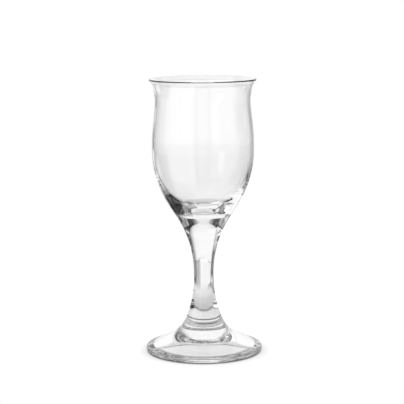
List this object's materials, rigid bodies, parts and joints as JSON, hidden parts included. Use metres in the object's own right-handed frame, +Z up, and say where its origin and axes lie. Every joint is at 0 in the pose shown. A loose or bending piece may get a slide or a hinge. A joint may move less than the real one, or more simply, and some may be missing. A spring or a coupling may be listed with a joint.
{
  "type": "white wine glass",
  "caption": "Clear stemmed wine glass: a cup-shaped bowl with a flared lip on a drawn stem that spreads into a low conical foot.",
  "frame": {"origin": "centre of the foot's resting ring, on the table", "axes": "+Z up along the axis of the stem; the glass is round, so +X and +Y are any two level directions at right angles"},
  "size_m": [0.0728, 0.0728, 0.1711],
  "materials": {
    "bowl_glass": "colourless, fire-polished",
    "stem_glass": "colourless, fire-polished",
    "foot_glass": "colourless, fire-polished"
  },
  "bodies": {
    "root": {"bowl": "bowl_glass", "stem": "stem_glass", "foot": "foot_glass"}
  },
  "joints": []
}
